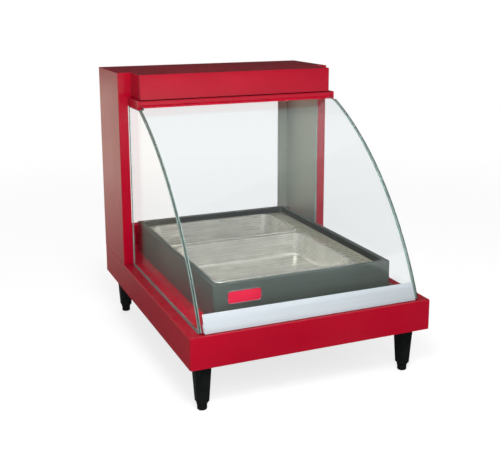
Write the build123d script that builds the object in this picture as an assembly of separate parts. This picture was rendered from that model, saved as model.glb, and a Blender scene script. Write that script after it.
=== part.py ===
"""Countertop heated display cabinet for food: base with a heated well, two rear columns,
a canopy with an overhead heater, fixed side glass and a curved front glass on a hinge.

Millimetres. X runs to the customer's right, Y from the customer side to the operator side,
Z up. The origin is on the counter, under the middle of the cabinet.
"""

import math
import os

from build123d import *

# Driving dimensions of the cabinet
WIDTH = 508.0
DEPTH = 635.0
HEIGHT = 594.0
BASE_BOTTOM = 98.0
BASE_TOP = 160.0
COLUMN_DEPTH = 178.0
COLUMN_WIDTH = 21.0
CANOPY_REACH = 70.0
CANOPY_INSET = 29.5
CANOPY_HEIGHT = 53.0
HOUSING_HEIGHT = 19.5
SHEET = 1.5

# Curved glass: one round arc in the side view
GLASS = 6.0
ARC_Y = 323.8
ARC_Z = -101.6
ARC_RADIUS = 685.0
SIDE_GLASS_FACE = 232.3
SIDE_GLASS_GAP = 1.5

# Hinge of the front glass
HINGE_Y = 68.0
HINGE_Z = 528.0
PIN_RADIUS = 3.0
ROCKER_PIN = 1.5
RUNNING_GAP = 0.05

# Tray, well and lift-out deck
TRAY_HALF = 190.0
TRAY_FRONT = -263.5
TRAY_BACK = 240.0
TRAY_TOP = 233.0
TRAY_RIM = 9.5
WELL_FLOOR = 128.0
DECK_BOTTOM = 217.5
DECK_TOP = 219.0
SLOT_LENGTH = 42.0
SLOT_WIDTH = 6.5
SLOT_TURN = -50.0
SLOT_PITCH = 23.0
SLOT_ROWS = 19
SLOT_FIRST_Y = -222.0

# Lift-out pans
PAN_LEFT = -178.0
PAN_WIDTH = 318.0
PAN_LIP = 11.0
PAN_RIM_HEIGHT = 6.0
PAN_DEPTH = 50.0
PAN_WALL = 1.0
FRONT_PAN_Y = -230.0
FRONT_PAN_LENGTH = 262.0
REAR_PAN_Y = 40.0
REAR_PAN_LENGTH = 174.0

# Legs and levelling feet
LEG_X = 219.0
LEG_Y = 277.0
LEG_TOP = 34.0
LEG_FOOT = 24.0
LEG_SHOULDER = 17.0
LEG_END = 11.0
FOOT_RADIUS = 9.5
STEM_RADIUS = 5.0

# Places worked out from them
HALF_W = WIDTH / 2
FRONT = -DEPTH / 2
BACK = DEPTH / 2
COLUMN_FRONT = BACK - COLUMN_DEPTH
COLUMN_INNER = HALF_W - COLUMN_WIDTH
CANOPY_FRONT = COLUMN_FRONT - CANOPY_REACH
CANOPY_HALF = HALF_W - CANOPY_INSET
CANOPY_BOTTOM = HEIGHT - CANOPY_HEIGHT
HOUSING_BOTTOM = CANOPY_BOTTOM - HOUSING_HEIGHT
HOUSING_HALF = COLUMN_INNER - 0.2
HOUSING_FRONT = HINGE_Y + 16.0
HOUSING_BACK = BACK - 3.5
RETURN_INNER = HALF_W - 46.0
PANEL_Y = BACK - 17.5
CONTROL_Z = 129.0
ELEMENT_Y = 195.0
LAMP_Y = 114.0
STRIP_HALF = 223.0
STRIP_HEIGHT = 33.5
SIDES = {"left": -1, "right": 1}
CORNERS = {"front_left": (-1, -1), "front_right": (1, -1), "rear_left": (-1, 1), "rear_right": (1, 1)}


def block(x0, x1, y0, y1, z0, z1):
    """A box between the given limits, in any order."""
    centre = Pos((x0 + x1) / 2, (y0 + y1) / 2, (z0 + z1) / 2)
    return centre * Box(abs(x1 - x0), abs(y1 - y0), abs(z1 - z0))


def rod(radius, start, end):
    """A round bar between two points that share two coordinates."""
    run = Vector(*end) - Vector(*start)
    middle = (Vector(*end) + Vector(*start)) * 0.5
    plane = Plane(origin=middle, z_dir=run)
    return plane * Cylinder(radius, run.length)


def group(pieces):
    """Separate solids kept together in one node."""
    return Compound(children=[piece for piece in pieces])


def rounded_slab(x0, x1, y0, y1, z0, z1, radius):
    """A slab with round vertical corners."""
    outline = Pos((x0 + x1) / 2, (y0 + y1) / 2, z0) * RectangleRounded(x1 - x0, y1 - y0, radius)
    return extrude(outline, z1 - z0, dir=(0, 0, 1))


def arc_y(radius, z):
    """Where the glass arc of this radius is at a height."""
    return ARC_Y - math.sqrt(radius**2 - (z - ARC_Z) ** 2)


def arc_band(r_in, r_out, z0, z1, half_width):
    """The part of a curved sheet between two radii and two heights, centred on X."""
    def at(radius, degrees):
        turn = math.radians(degrees)
        return (ARC_Y - radius * math.cos(turn), ARC_Z + radius * math.sin(turn))

    low, middle, high = 18.0, 46.0, 74.0
    outline = [
        ThreePointArc(at(r_out, low), at(r_out, middle), at(r_out, high)),
        Line(at(r_out, high), at(r_in, high)),
        ThreePointArc(at(r_in, high), at(r_in, middle), at(r_in, low)),
        Line(at(r_in, low), at(r_out, low)),
    ]
    face = Plane.YZ * make_face(outline)
    sheet = extrude(face, half_width, both=True, dir=(1, 0, 0))
    return sheet & block(-half_width - 1, half_width + 1, FRONT - 50, BACK, z0, z1)


def mirrored(side, shape):
    """The right-hand shape as it is, or its mirror image for the left."""
    return shape if side > 0 else mirror(shape, about=Plane.YZ)


# Base


def screw_points():
    """Flush screws through the rear flanges of the columns."""
    middle = (RETURN_INNER + COLUMN_INNER) / 2
    return [(side * middle, z) for side in (-1, 1) for z in (190.0, 350.0, 510.0)]


def column_screw(x, z):
    head = rod(3.4, (x, BACK - SHEET, z), (x, BACK, z))
    return head + rod(1.6, (x, BACK - 3.1, z), (x, BACK - SHEET, z))


def column_screws():
    return [column_screw(x, z) for x, z in screw_points()]


def base_shell():
    body = block(-HALF_W, HALF_W, FRONT, BACK, BASE_BOTTOM, BASE_TOP)
    body = fillet(body.edges().filter_by(Axis.Z), 4.0)
    body = fillet(body.faces().sort_by(Axis.Z)[-1].edges(), 2.5)
    body -= block(-HALF_W + SHEET, HALF_W - SHEET, FRONT + SHEET, BACK - SHEET,
                  BASE_BOTTOM - 1, BASE_TOP - SHEET)
    body -= block(-TRAY_HALF + 7, TRAY_HALF - 7, TRAY_FRONT + 7, TRAY_BACK - 7, 150, 170)
    for side in SIDES.values():
        body -= block(side * 225.4, side * 233.2, -298, COLUMN_FRONT - 0.5, 150, 170)
    body -= rod(7.0, (243.5, 240, 150), (243.5, 240, 170))
    body -= block(-180, 180, BACK - 5, BACK + 5, 108, 150)
    return body


def bottom_panel():
    inset = SHEET + 0.1
    panel = block(-HALF_W + inset, HALF_W - inset, FRONT + inset, BACK - inset,
                  BASE_BOTTOM, BASE_BOTTOM + SHEET)
    for x_side, y_side in CORNERS.values():
        panel -= Pos(x_side * LEG_X, y_side * LEG_Y, BASE_BOTTOM) * Cylinder(5.2, 10)
    for column in (-1, 1):
        for row in range(9):
            y = -80 + 20 * row
            panel -= block(column * 110 - 22, column * 110 + 22, y - 2, y + 2, 90, 110)
    return panel


def rear_panel():
    tray = block(-182, 182, PANEL_Y, BACK - SHEET, 106, 152)
    tray -= block(-180.5, 180.5, PANEL_Y + SHEET, BACK, 107.5, 150.5)
    tray -= rod(5.0, (95, 290, CONTROL_Z), (95, 310, CONTROL_Z))
    tray -= rod(4.2, (45, 290, CONTROL_Z), (45, 310, CONTROL_Z))
    for x in (-60, 0):
        tray -= block(x - 13.2, x + 13.2, 290, 310, CONTROL_Z - 12.2, CONTROL_Z + 12.2)
    tray -= rod(8.2, (-135, 290, CONTROL_Z), (-135, 310, CONTROL_Z))
    return tray


def leg(x_side, y_side):
    def ring(width, z):
        outline = Rectangle(width, width)
        outline = chamfer(outline.vertices(), width * 0.19)
        return Pos(0, 0, z) * outline

    body = loft([ring(LEG_FOOT, LEG_SHOULDER), ring(LEG_TOP, BASE_BOTTOM)])
    cone_height = LEG_SHOULDER - LEG_END
    body += Pos(0, 0, (LEG_SHOULDER + LEG_END) / 2) * Cone(10.2, 11.6, cone_height)
    body += Pos(0, 0, BASE_BOTTOM + 7) * Cylinder(STEM_RADIUS, 14)
    bore = STEM_RADIUS + RUNNING_GAP
    body -= rod(bore, (0, 0, LEG_END - 1), (0, 0, LEG_END + 44))
    return Pos(x_side * LEG_X, y_side * LEG_Y, 0) * body


def levelling_foot(x_side, y_side):
    pad_top = LEG_END - 0.2
    pad = Pos(0, 0, pad_top / 2) * Cylinder(FOOT_RADIUS, pad_top)
    pad = fillet(pad.edges().sort_by(Axis.Z)[0], 2.5)
    stem = rod(STEM_RADIUS, (0, 0, pad_top), (0, 0, LEG_END + 40))
    return Pos(x_side * LEG_X, y_side * LEG_Y, 0) * (pad + stem)


def leg_nuts():
    nuts = []
    for x_side, y_side in CORNERS.values():
        outline = RegularPolygon(8.5, 6) - Circle(STEM_RADIUS)
        nut = extrude(Pos(0, 0, BASE_BOTTOM + SHEET) * outline, 7, dir=(0, 0, 1))
        nuts.append(Pos(x_side * LEG_X, y_side * LEG_Y, 0) * nut)
    return group(nuts)


# Tray, well and heater of the base


def tray_skirt():
    skirt = rounded_slab(-TRAY_HALF, TRAY_HALF, TRAY_FRONT, TRAY_BACK, BASE_TOP, TRAY_TOP, 4.0)
    skirt = fillet(skirt.faces().sort_by(Axis.Z)[-1].edges(), 1.4)
    skirt -= rounded_slab(-TRAY_HALF + SHEET, TRAY_HALF - SHEET, TRAY_FRONT + SHEET,
                          TRAY_BACK - SHEET, BASE_TOP - 1, TRAY_TOP - SHEET, 2.5)
    skirt -= rounded_slab(-TRAY_HALF + TRAY_RIM, TRAY_HALF - TRAY_RIM, TRAY_FRONT + TRAY_RIM,
                          TRAY_BACK - TRAY_RIM, BASE_TOP, TRAY_TOP + 1, 6.0)
    return skirt


def well():
    out = TRAY_RIM - SHEET
    tub = rounded_slab(-TRAY_HALF + out, TRAY_HALF - out, TRAY_FRONT + out, TRAY_BACK - out,
                       WELL_FLOOR, TRAY_TOP - SHEET, 7.5)
    tub -= rounded_slab(-TRAY_HALF + TRAY_RIM, TRAY_HALF - TRAY_RIM, TRAY_FRONT + TRAY_RIM,
                        TRAY_BACK - TRAY_RIM, WELL_FLOOR + SHEET, TRAY_TOP, 6.0)
    for x in (-165, 135):
        tub -= rod(4.2, (x, 200, 142), (x, 250, 142))
    return tub


def well_insulation():
    return block(-176, 176, -256, 224, WELL_FLOOR - 16, WELL_FLOOR)


def base_element():
    y_front, y_back, z = -200.0, 180.0, 142.0
    points = [(-165, TRAY_BACK + 5, z), (-165, y_front, z)]
    x = -165.0
    near = True
    for _ in range(4):
        x += 60
        points.append((x, y_front if near else y_back, z))
        near = not near
        points.append((x, y_front if near else y_back, z))
    points.append((135, y_front, z))
    points.append((135, TRAY_BACK + 5, z))
    path = FilletPolyline(*points, radius=28)
    tube = sweep(Plane(origin=path @ 0, z_dir=path % 0) * Circle(4.0), path=path)
    return tube


def element_supports():
    return group([block(-172, 172, y - 5, y + 5, WELL_FLOOR + SHEET, 138) for y in (-130, 30, 150)])


def deck_rails():
    """Angle ledges inside the well at the front, the back and the right, which carry the deck."""
    y_front, y_back = TRAY_FRONT + TRAY_RIM, TRAY_BACK - TRAY_RIM
    x_right = TRAY_HALF - TRAY_RIM
    shelf_z, web_z = DECK_BOTTOM - SHEET, DECK_BOTTOM - 13.5
    front = block(-160, 160, y_front, y_front + 10, shelf_z, DECK_BOTTOM)
    front += block(-160, 160, y_front, y_front + SHEET, web_z, DECK_BOTTOM)
    back = block(-160, 160, y_back - 9, y_back, shelf_z, DECK_BOTTOM)
    back += block(-160, 160, y_back - SHEET, y_back, web_z, DECK_BOTTOM)
    right = block(x_right - 5, x_right, -235, 212, shelf_z, DECK_BOTTOM)
    right += block(x_right - SHEET, x_right, -235, 212, web_z, DECK_BOTTOM)
    return group([front, back, right])


def pan_limits(y0, length, inset):
    """Limits in X and Y of a pan's outline, moved in by the inset."""
    return (PAN_LEFT + inset, PAN_LEFT + PAN_WIDTH - inset, y0 + inset, y0 + length - inset)


def deck():
    plate = rounded_slab(-179.8, 179.8, TRAY_FRONT + TRAY_RIM + 0.7, TRAY_BACK - TRAY_RIM - 0.7,
                         DECK_BOTTOM, DECK_TOP, 6.0)
    for y0, length in ((FRONT_PAN_Y, FRONT_PAN_LENGTH), (REAR_PAN_Y, REAR_PAN_LENGTH)):
        plate -= rounded_slab(*pan_limits(y0, length, 8.5), DECK_BOTTOM - 1, DECK_TOP + 1, 20.0)
    slot_x = (PAN_LEFT + PAN_WIDTH + 180) / 2
    for row in range(SLOT_ROWS):
        y = SLOT_FIRST_Y + SLOT_PITCH * row
        slot = Pos(slot_x, y, DECK_BOTTOM - 1) * Rot(0, 0, SLOT_TURN) * SlotOverall(SLOT_LENGTH, SLOT_WIDTH)
        plate -= extrude(slot, 4, dir=(0, 0, 1))
    return plate


def lift_out_pan(y0, length):
    rim_top = DECK_TOP + PAN_RIM_HEIGHT
    floor = rim_top - PAN_DEPTH

    def outline(inset, z, radius):
        x_low, x_high, y_low, y_high = pan_limits(y0, length, inset)
        place = Pos((x_low + x_high) / 2, (y_low + y_high) / 2, z)
        return place * RectangleRounded(x_high - x_low, y_high - y_low, radius)

    outer = loft([outline(PAN_LIP + 8, floor, 20), outline(PAN_LIP, rim_top, 24)])
    inner = loft([outline(PAN_LIP + 9, floor + PAN_WALL, 19), outline(PAN_LIP + 1, rim_top + 1, 23)])
    rim = extrude(outline(0, DECK_TOP, 22), PAN_RIM_HEIGHT, dir=(0, 0, 1))
    rim = fillet(rim.faces().sort_by(Axis.Z)[-1].edges(), 0.9)
    rim -= extrude(outline(PAN_WALL, DECK_TOP - 1, 21), PAN_RIM_HEIGHT, dir=(0, 0, 1))
    return outer + rim - inner


def badge():
    """A blank plate with round corners, fixed to the front of the tray."""
    plane = Plane(origin=(-127, TRAY_FRONT, 205), x_dir=(1, 0, 0), z_dir=(0, -1, 0))
    return extrude(plane * RectangleRounded(70, 26, 7), 1.2)


# Columns and canopy


def column_cover(side):
    top = HEIGHT - SHEET
    shell = block(COLUMN_INNER, HALF_W, COLUMN_FRONT, BACK, BASE_TOP + 1, top)
    shell += block(CANOPY_HALF, HALF_W, COLUMN_FRONT, COLUMN_FRONT + SHEET, CANOPY_BOTTOM, top)
    shell += block(RETURN_INNER, HALF_W, BACK - SHEET, BACK, BASE_TOP + 1, top)
    shell = fillet(shell.edges().filter_by(Axis.Z).group_by(Axis.X)[-1], 2.0)
    shell -= block(COLUMN_INNER - 1, HALF_W - SHEET, COLUMN_FRONT + SHEET, BACK - SHEET, 150, 600)
    shape = mirrored(side, shell)
    for x, z in screw_points():
        if x * side > 0:
            shape -= column_screw(x, z)
    return shape


def column_liner(side):
    wall = block(COLUMN_INNER, COLUMN_INNER + SHEET, COLUMN_FRONT + SHEET, BACK - SHEET,
                 BASE_TOP, CANOPY_BOTTOM)
    wall += block(RETURN_INNER, COLUMN_INNER + SHEET, BACK - 2 * SHEET - 0.1, BACK - SHEET - 0.1,
                  BASE_TOP, CANOPY_BOTTOM)
    shape = mirrored(side, wall)
    for x, z in screw_points():
        if x * side > 0:
            shape -= column_screw(x, z)
    return shape


def column_gasket(side):
    pad = block(COLUMN_INNER + SHEET, HALF_W - 1, COLUMN_FRONT + 1, BACK - 1, BASE_TOP, BASE_TOP + 1)
    pad -= block(COLUMN_INNER, HALF_W - 5, COLUMN_FRONT + 5, BACK - 5, 150, 170)
    return mirrored(side, pad)


def top_cover():
    cover = block(-HALF_W, HALF_W, COLUMN_FRONT, BACK, CANOPY_BOTTOM, HEIGHT)
    cover += block(-CANOPY_HALF, CANOPY_HALF, CANOPY_FRONT, COLUMN_FRONT, CANOPY_BOTTOM, HEIGHT)
    nose = cover.edges().filter_by(Axis.Z).group_by(Axis.Y)[0]
    cover = fillet(nose, 3.0)
    cover = fillet(cover.faces().sort_by(Axis.Z)[-1].edges(), 1.2)
    low, high = CANOPY_BOTTOM - 1, HEIGHT - SHEET
    cover -= block(-CANOPY_HALF + SHEET, CANOPY_HALF - SHEET, CANOPY_FRONT + SHEET, BACK - SHEET,
                   low, high)
    cover -= block(RETURN_INNER, HALF_W + 1, COLUMN_FRONT, BACK + 1, low, high)
    cover -= block(-HALF_W - 1, -RETURN_INNER, COLUMN_FRONT, BACK + 1, low, high)
    return cover


def rear_sill():
    sill = block(-COLUMN_INNER + 0.6, COLUMN_INNER - 0.6, BACK - 26, BACK - 3.6, BASE_TOP, 210)
    sill = fillet(sill.faces().sort_by(Axis.Z)[-1].edges().filter_by(Axis.X), 2.0)
    sill -= block(-COLUMN_INNER + 2, COLUMN_INNER - 2, BACK - 24.5, BACK - 5.1, 150, 208.5)
    return sill


def heater_housing():
    box = block(-HOUSING_HALF, HOUSING_HALF, HOUSING_FRONT, HOUSING_BACK, HOUSING_BOTTOM, CANOPY_BOTTOM)
    box -= block(-HOUSING_HALF + SHEET, HOUSING_HALF - SHEET, HOUSING_FRONT + SHEET,
                 HOUSING_BACK - SHEET, HOUSING_BOTTOM + SHEET, CANOPY_BOTTOM - SHEET)
    box -= block(-206, 206, ELEMENT_Y - 46, ELEMENT_Y + 46, CANOPY_BOTTOM - 5, CANOPY_BOTTOM + 5)
    box -= block(-198, 198, ELEMENT_Y - 50, ELEMENT_Y + 50, HOUSING_BOTTOM - 5, HOUSING_BOTTOM + 5)
    box -= block(-96, 96, LAMP_Y - 10, LAMP_Y + 10, HOUSING_BOTTOM - 5, HOUSING_BOTTOM + 5)
    return box


def reflector():
    def trough(grow, drop):
        corners = [
            (ELEMENT_Y - 44 - grow, 528 - drop),
            (ELEMENT_Y - 28 - grow, 561 + grow),
            (ELEMENT_Y + 28 + grow, 561 + grow),
            (ELEMENT_Y + 44 + grow, 528 - drop),
        ]
        face = Plane.YZ * make_face(Polyline(*corners, close=True))
        return extrude(face, 200, both=True, dir=(1, 0, 0))

    flange = block(-200, 200, ELEMENT_Y - 56, ELEMENT_Y + 56, CANOPY_BOTTOM, CANOPY_BOTTOM + 1)
    return trough(1, 0) + flange - trough(0, 1)


def top_insulation():
    return block(-195, 195, ELEMENT_Y - 29, ELEMENT_Y + 29, 562, 582)


def overhead_element():
    return rod(4.0, (-206, ELEMENT_Y, 548), (206, ELEMENT_Y, 548))


def element_ends():
    ends = []
    for side in SIDES.values():
        end = block(side * 200, side * 206, ELEMENT_Y - 9, ELEMENT_Y + 9, 538, 558)
        ends.append(end - rod(4.0, (side * 199, ELEMENT_Y, 548), (side * 207, ELEMENT_Y, 548)))
    return group(ends)


def element_guard():
    z = HOUSING_BOTTOM + SHEET + 1.25
    wires = []
    for row in range(5):
        y = ELEMENT_Y - 52 + 26 * row
        wires.append(rod(1.25, (-204, y, z), (204, y, z)))
    for column in range(9):
        x = -200 + 50 * column
        wires.append(rod(1.25, (x, ELEMENT_Y - 54, z), (x, ELEMENT_Y + 54, z)))
    frame = wires[0]
    for wire in wires[1:]:
        frame += wire
    return frame


def display_lamp():
    return rod(6.0, (-104, LAMP_Y, 531.5), (104, LAMP_Y, 531.5))


def lamp_sockets():
    sockets = []
    for side in SIDES.values():
        socket = block(side * 98, side * 116, LAMP_Y - 8, LAMP_Y + 8, 524, CANOPY_BOTTOM - SHEET)
        sockets.append(socket - rod(6.0, (side * 90, LAMP_Y, 531.5), (side * 104, LAMP_Y, 531.5)))
    return group(sockets)


def heater_terminal():
    return block(208, 222, ELEMENT_Y + 20, ELEMENT_Y + 70, 560, 584)


# Glass


def side_glass(side):
    edge_radius = ARC_RADIUS - GLASS - SIDE_GLASS_GAP
    top = HOUSING_BOTTOM - 0.5
    low = BASE_TOP - 6.5
    corners = [
        (-297.5, low),
        (COLUMN_FRONT - 0.8, low),
        (COLUMN_FRONT - 0.8, top),
        (arc_y(edge_radius, top), top),
    ]
    foot_z = BASE_TOP + 1.5
    outline = [
        Polyline(*corners),
        ThreePointArc(corners[-1], (arc_y(edge_radius, 340), 340), (arc_y(edge_radius, foot_z), foot_z)),
        Polyline((arc_y(edge_radius, foot_z), foot_z), (-297.5, foot_z), corners[0]),
    ]
    face = Plane.YZ * make_face(outline)
    pane = extrude(face, GLASS, dir=(1, 0, 0))
    return mirrored(side, Pos(SIDE_GLASS_FACE - GLASS, 0, 0) * pane)


def side_channel(side):
    trough = block(225.4, 233.2, -298, COLUMN_FRONT - 0.5, BASE_TOP - 8, BASE_TOP + 1)
    trough -= block(226.3, 232.3, -297.5, COLUMN_FRONT, BASE_TOP - 6.5, BASE_TOP + 2)
    return mirrored(side, trough)


def front_glass():
    sheet = arc_band(ARC_RADIUS - GLASS, ARC_RADIUS, BASE_TOP + 2.2, HEIGHT, 231)
    sheet &= block(-300, 300, FRONT - 50, 66, 0, 700)
    for side in SIDES.values():
        sheet -= block(side * 224, side * 300, 46, 100, 400, 700)
    return sheet


def front_strip():
    inner, outer = ARC_RADIUS - GLASS - 1.6, ARC_RADIUS + 1.8
    strip = arc_band(inner, outer, BASE_TOP + 1, BASE_TOP + STRIP_HEIGHT, STRIP_HALF)
    strip -= arc_band(inner - 1, ARC_RADIUS - GLASS, BASE_TOP + 14, HEIGHT, 300)
    strip -= arc_band(ARC_RADIUS - GLASS, ARC_RADIUS, BASE_TOP + 2.2, HEIGHT, 300)
    return strip


def glass_rail():
    rail = block(-224.5, 224.5, HINGE_Y - 6, HINGE_Y + 10, HOUSING_BOTTOM, HINGE_Z + 11.5)
    nose = rail.edges().filter_by(Axis.X).group_by(Axis.Z)[-1].sort_by(Axis.Y)[0]
    rail = fillet(nose, 2.0)
    return rail - front_glass()


def rail_end(side):
    cap = block(224.5, 226, HINGE_Y - 6, HINGE_Y + 10, HOUSING_BOTTOM, HINGE_Z + 11.5)
    nose = cap.edges().filter_by(Axis.X).group_by(Axis.Z)[-1].sort_by(Axis.Y)[0]
    cap = fillet(nose, 2.0)
    cap += rod(PIN_RADIUS, (226, HINGE_Y, HINGE_Z), (232.4, HINGE_Y, HINGE_Z))
    return mirrored(side, cap)


def hinge_bracket(side):
    ear = block(226.5, HOUSING_HALF, HINGE_Y - 6, HOUSING_FRONT, HOUSING_BOTTOM, CANOPY_BOTTOM - 0.5)
    nose = ear.edges().filter_by(Axis.X).group_by(Axis.Z)[-1].sort_by(Axis.Y)[0]
    ear = fillet(nose, 2.0)
    bore = PIN_RADIUS + RUNNING_GAP
    ear -= rod(bore, (220, HINGE_Y, HINGE_Z), (240, HINGE_Y, HINGE_Z))
    return mirrored(side, ear)


def glass_bumpers():
    return group([Pos(x, -306.5, BASE_TOP + 0.45) * Cylinder(3.0, 0.9) for x in (-150, 150)])


# Controls in the recess at the operator side


def switch_body(x):
    bezel = block(x - 15, x + 15, PANEL_Y + SHEET, PANEL_Y + 3.5, CONTROL_Z - 14, CONTROL_Z + 14)
    bezel = fillet(bezel.edges().filter_by(Axis.Y), 2.0)
    can = block(x - 13, x + 13, PANEL_Y - 20, PANEL_Y + SHEET, CONTROL_Z - 12, CONTROL_Z + 12)
    pocket = block(x - 8.3, x + 8.3, PANEL_Y - 6, PANEL_Y + 5, CONTROL_Z - 10.8, CONTROL_Z + 10.8)
    return bezel + can - pocket - rocker_pin(x, ROCKER_PIN + RUNNING_GAP)


def rocker_pin(x, radius):
    return rod(radius, (x - 9.5, PANEL_Y - 1, CONTROL_Z), (x + 9.5, PANEL_Y - 1, CONTROL_Z))


def rocker(x):
    """A rocker cap, tipped to its off position about its pivot pins."""
    profile = [(-1.0, -9.0), (-1.0, 9.0), (6.0, 9.0), (4.6, 0.0), (6.0, -9.0)]
    face = Plane.YZ * make_face(Polyline(*profile, close=True))
    cap = extrude(face, 8.0, both=True, dir=(1, 0, 0))
    return Pos(x, PANEL_Y - 1, CONTROL_Z) * Rot(-10, 0, 0) * cap + rocker_pin(x, ROCKER_PIN)


def indicator_light():
    dome = rod(5.5, (45, PANEL_Y + SHEET, CONTROL_Z), (45, PANEL_Y + 5, CONTROL_Z))
    dome = fillet(dome.edges().sort_by(Axis.Y)[-1], 2.5)
    return dome + rod(4.1, (45, PANEL_Y - 14, CONTROL_Z), (45, PANEL_Y + SHEET, CONTROL_Z))


def thermostat():
    body = block(77, 113, PANEL_Y - 26, PANEL_Y, CONTROL_Z - 16, CONTROL_Z + 16)
    body += rod(4.8, (95, PANEL_Y, CONTROL_Z), (95, PANEL_Y + 1.8, CONTROL_Z))
    bore = PIN_RADIUS + RUNNING_GAP
    return body - rod(bore, (95, PANEL_Y - 16, CONTROL_Z), (95, PANEL_Y + 3, CONTROL_Z))


def thermostat_spindle():
    return rod(PIN_RADIUS, (95, PANEL_Y - 15, CONTROL_Z), (95, PANEL_Y + 11, CONTROL_Z))


def thermostat_knob():
    skirt = rod(15.0, (95, PANEL_Y + 2.2, CONTROL_Z), (95, PANEL_Y + 6, CONTROL_Z))
    grip = rod(11.0, (95, PANEL_Y + 6, CONTROL_Z), (95, PANEL_Y + 15, CONTROL_Z))
    grip = fillet(grip.edges().sort_by(Axis.Y)[-1], 1.2)
    for flute in range(12):
        turn = math.radians(30 * flute + 15)
        x, z = 95 + 12.2 * math.cos(turn), CONTROL_Z + 12.2 * math.sin(turn)
        grip -= rod(2.2, (x, PANEL_Y + 6.5, z), (x, PANEL_Y + 16, z))
    return skirt + grip - thermostat_spindle()


def cord_gland():
    x = -135.0
    body = rod(8.0, (x, PANEL_Y - 12, CONTROL_Z), (x, PANEL_Y + SHEET, CONTROL_Z))
    hexagon = Plane(origin=(x, PANEL_Y + SHEET, CONTROL_Z), z_dir=(0, 1, 0)) * RegularPolygon(12.5, 6)
    body += extrude(hexagon, 5)
    body += rod(9.0, (x, PANEL_Y + 6.5, CONTROL_Z), (x, PANEL_Y + 14, CONTROL_Z))
    return body - rod(5.2, (x, PANEL_Y - 20, CONTROL_Z), (x, PANEL_Y + 20, CONTROL_Z))


def gland_nut():
    plane = Plane(origin=(-135, PANEL_Y, CONTROL_Z), z_dir=(0, -1, 0))
    return extrude(plane * (RegularPolygon(12.5, 6) - Circle(8.0)), 5)


def terminal_block():
    return block(196, 250, 222, 258, BASE_BOTTOM + SHEET, 118)


def wire_loom():
    path = FilletPolyline((243.5, 240, 118), (243.5, 240, 572), (222, 240, 572), radius=14)
    return sweep(Plane(origin=path @ 0, z_dir=path % 0) * Circle(4.0), path=path)


def panel_screws():
    screws = []
    for x in (-172, 172):
        for z in (114, 144):
            head = rod(3.4, (x, PANEL_Y + SHEET, z), (x, PANEL_Y + 3.2, z))
            screws.append(fillet(head.edges().sort_by(Axis.Y)[-1], 1.0))
    return screws


def bottom_screws():
    screws = []
    for x in (-240, 0, 240):
        for y in (-300, 300):
            screws.append(rod(3.4, (x, y, BASE_BOTTOM - 1.8), (x, y, BASE_BOTTOM)))
    return screws


PARTS = {
    "base_shell": base_shell(),
    "bottom_panel": bottom_panel(),
    "rear_panel": rear_panel(),
    "leg_nuts": leg_nuts(),
    "tray_skirt": tray_skirt(),
    "well": well(),
    "well_insulation": well_insulation(),
    "base_element": base_element(),
    "element_supports": element_supports(),
    "deck_rails": deck_rails(),
    "deck": deck(),
    "front_pan": lift_out_pan(FRONT_PAN_Y, FRONT_PAN_LENGTH),
    "rear_pan": lift_out_pan(REAR_PAN_Y, REAR_PAN_LENGTH),
    "badge": badge(),
    "top_cover": top_cover(),
    "rear_sill": rear_sill(),
    "heater_housing": heater_housing(),
    "reflector": reflector(),
    "top_insulation": top_insulation(),
    "overhead_element": overhead_element(),
    "element_ends": element_ends(),
    "element_guard": element_guard(),
    "display_lamp": display_lamp(),
    "lamp_sockets": lamp_sockets(),
    "heater_terminal": heater_terminal(),
    "front_glass": front_glass(),
    "front_strip": front_strip(),
    "glass_rail": glass_rail(),
    "glass_bumpers": glass_bumpers(),
    "power_switch": switch_body(-60),
    "power_rocker": rocker(-60),
    "light_switch": switch_body(0),
    "light_rocker": rocker(0),
    "indicator_light": indicator_light(),
    "thermostat": thermostat(),
    "thermostat_spindle": thermostat_spindle(),
    "thermostat_knob": thermostat_knob(),
    "cord_gland": cord_gland(),
    "gland_nut": gland_nut(),
    "terminal_block": terminal_block(),
    "wire_loom": wire_loom(),
    "casing_screws": group(column_screws() + panel_screws() + bottom_screws()),
    "column_gaskets": group([column_gasket(side) for side in SIDES.values()]),
    "side_channels": group([side_channel(side) for side in SIDES.values()]),
    "rail_ends": group([rail_end(side) for side in SIDES.values()]),
    "hinge_brackets": group([hinge_bracket(side) for side in SIDES.values()]),
}
for corner, (x_side, y_side) in CORNERS.items():
    PARTS["leg_" + corner] = leg(x_side, y_side)
    PARTS["foot_" + corner] = levelling_foot(x_side, y_side)
for name, side in SIDES.items():
    PARTS["column_cover_" + name] = column_cover(side)
    PARTS["column_liner_" + name] = column_liner(side)
    PARTS["side_glass_" + name] = side_glass(side)

os.makedirs("parts", exist_ok=True)
for name, shape in PARTS.items():
    export_step(shape, f"parts/{name}.step")
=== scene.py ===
"""Looks of a countertop heated display cabinet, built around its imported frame.

Metres. X runs to the customer's right, Y from the customer side to the operator side, Z up.
Each operator finishes one group of pieces; run the file as a script to build them all.
"""

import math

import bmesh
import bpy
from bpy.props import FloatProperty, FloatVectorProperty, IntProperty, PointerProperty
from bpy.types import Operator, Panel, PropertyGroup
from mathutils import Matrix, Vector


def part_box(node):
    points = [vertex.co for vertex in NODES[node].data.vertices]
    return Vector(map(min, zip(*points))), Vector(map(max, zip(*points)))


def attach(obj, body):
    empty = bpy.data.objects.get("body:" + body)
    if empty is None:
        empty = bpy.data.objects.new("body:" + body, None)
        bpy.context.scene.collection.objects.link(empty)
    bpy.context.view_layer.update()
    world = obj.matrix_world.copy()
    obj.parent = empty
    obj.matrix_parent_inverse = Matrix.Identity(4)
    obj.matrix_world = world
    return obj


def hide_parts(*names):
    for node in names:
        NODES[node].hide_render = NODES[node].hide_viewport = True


bl_info = {
    "name": "Heated Display Cabinet",
    "version": (1, 0, 0),
    "blender": (4, 5, 0),
    "location": "3D View > Sidebar > Cabinet",
    "description": "Builds the finishes and fine pieces of a countertop heated display cabinet",
    "category": "Add Mesh",
}

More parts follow.
